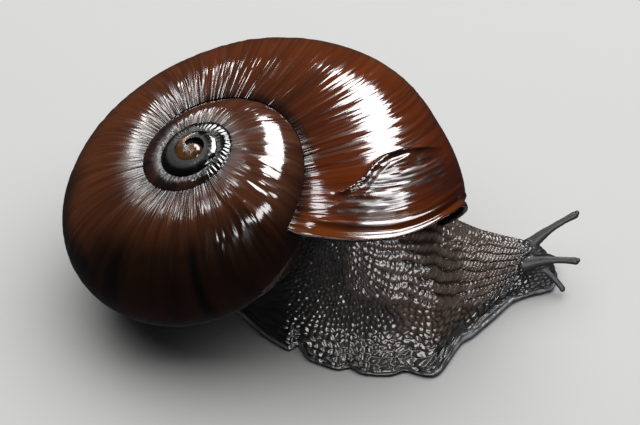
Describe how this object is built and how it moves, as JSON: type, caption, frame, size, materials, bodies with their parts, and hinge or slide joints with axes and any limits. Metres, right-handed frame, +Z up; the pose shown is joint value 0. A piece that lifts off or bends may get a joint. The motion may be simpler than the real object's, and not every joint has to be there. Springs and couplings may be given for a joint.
{
  "type": "giant land snail",
  "caption": "Large land snail crawling with its feelers out: a broad low glossy brown shell coiled to the right, on a black knobbly body with a frilled grey foot.",
  "frame": {"origin": "on the ground under the middle of the animal's bounding box", "axes": "+X the way the snail crawls, +Y its left side, +Z up"},
  "size_m": [0.0745, 0.0482, 0.0335],
  "materials": {
    "shell": "glossy wet dark chestnut with fine growth wrinkles",
    "shell_spire": "glossy amber to olive black",
    "mantle": "wet, smooth",
    "skin": "wet black skin with raised knobs",
    "foot_rim": "wet grey-blue rim",
    "feeler": "wet, finely grained",
    "eye": "glossy black"
  },
  "bodies": {
    "root": {"shell_body_whorl": "shell", "shell_penultimate_whorl": "shell", "shell_apex": "shell_spire", "mantle_collar": "mantle", "foot_rear": "foot_rim", "foot_middle": "foot_rim", "foot_front": "foot_rim", "tail": "skin", "trunk": "skin", "neck": "skin", "head": "skin", "upper_feeler_left": "feeler", "upper_feeler_right": "feeler", "lower_feeler_left": "feeler", "lower_feeler_right": "feeler", "eye_left": "eye", "eye_right": "eye"}
  },
  "joints": []
}
